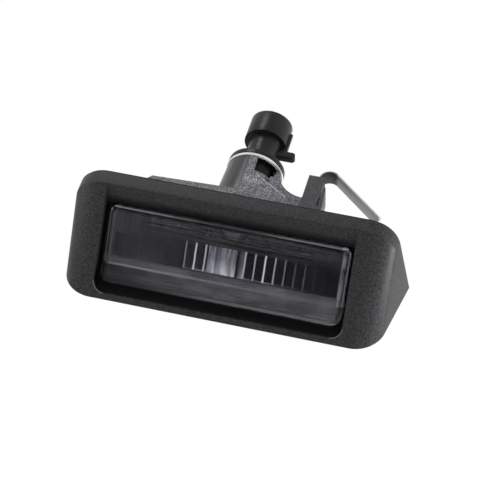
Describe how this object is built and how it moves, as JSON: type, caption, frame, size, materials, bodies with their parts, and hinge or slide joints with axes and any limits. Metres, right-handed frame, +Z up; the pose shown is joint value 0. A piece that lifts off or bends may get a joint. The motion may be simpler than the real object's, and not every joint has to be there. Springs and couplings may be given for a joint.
{
  "type": "number plate lamp",
  "caption": "Snap-in wedge-shaped number plate lamp with a clear ribbed lens, a bulb holder that turns in a rear tube, and a steel spring clip.",
  "frame": {"origin": "where the axis of the tube and bulb holder crosses the upper seat plane, at the middle of the panel opening", "axes": "+X along the lamp to the spring clip's side, +Y into the vehicle and away from the sloping front, +Z up along the tube"},
  "size_m": [0.1176, 0.0311, 0.0772],
  "materials": {
    "housing_plastic": "fine-textured black moulded plastic",
    "lens_clear": "clear moulded plastic with flutes on its inner face",
    "seal_rubber": "black foam rubber",
    "carrier_plastic": "coarse spark-textured dark grey plastic",
    "spring_steel": "satin spring steel",
    "holder_plastic": "smooth black plastic with a slight sheen",
    "pale_rubber": "pale silicone rubber",
    "contact_brass": "stamped brass",
    "bulb_glass": "clear glass",
    "wire": "drawn wire"
  },
  "bodies": {
    "lamp": {"housing": "housing_plastic", "lens": "lens_clear", "lens_seal": "seal_rubber", "seat_gasket": "seal_rubber", "carrier": "carrier_plastic", "spring_clip": "spring_steel"},
    "bulb_holder": {"holder_body": "holder_plastic", "holder_seal": "pale_rubber", "contact_front": "contact_brass", "contact_rear": "contact_brass", "bulb_glass": "bulb_glass", "filament": "wire", "lead_left": "wire", "lead_right": "wire"}
  },
  "joints": [
    {"name": "holder_turn", "type": "hinge", "parent": "lamp", "child": "bulb_holder", "pos_m": [0, 0, 0.0226], "axis": [0, 0, 1], "range_deg": [0, 50]}
  ]
}
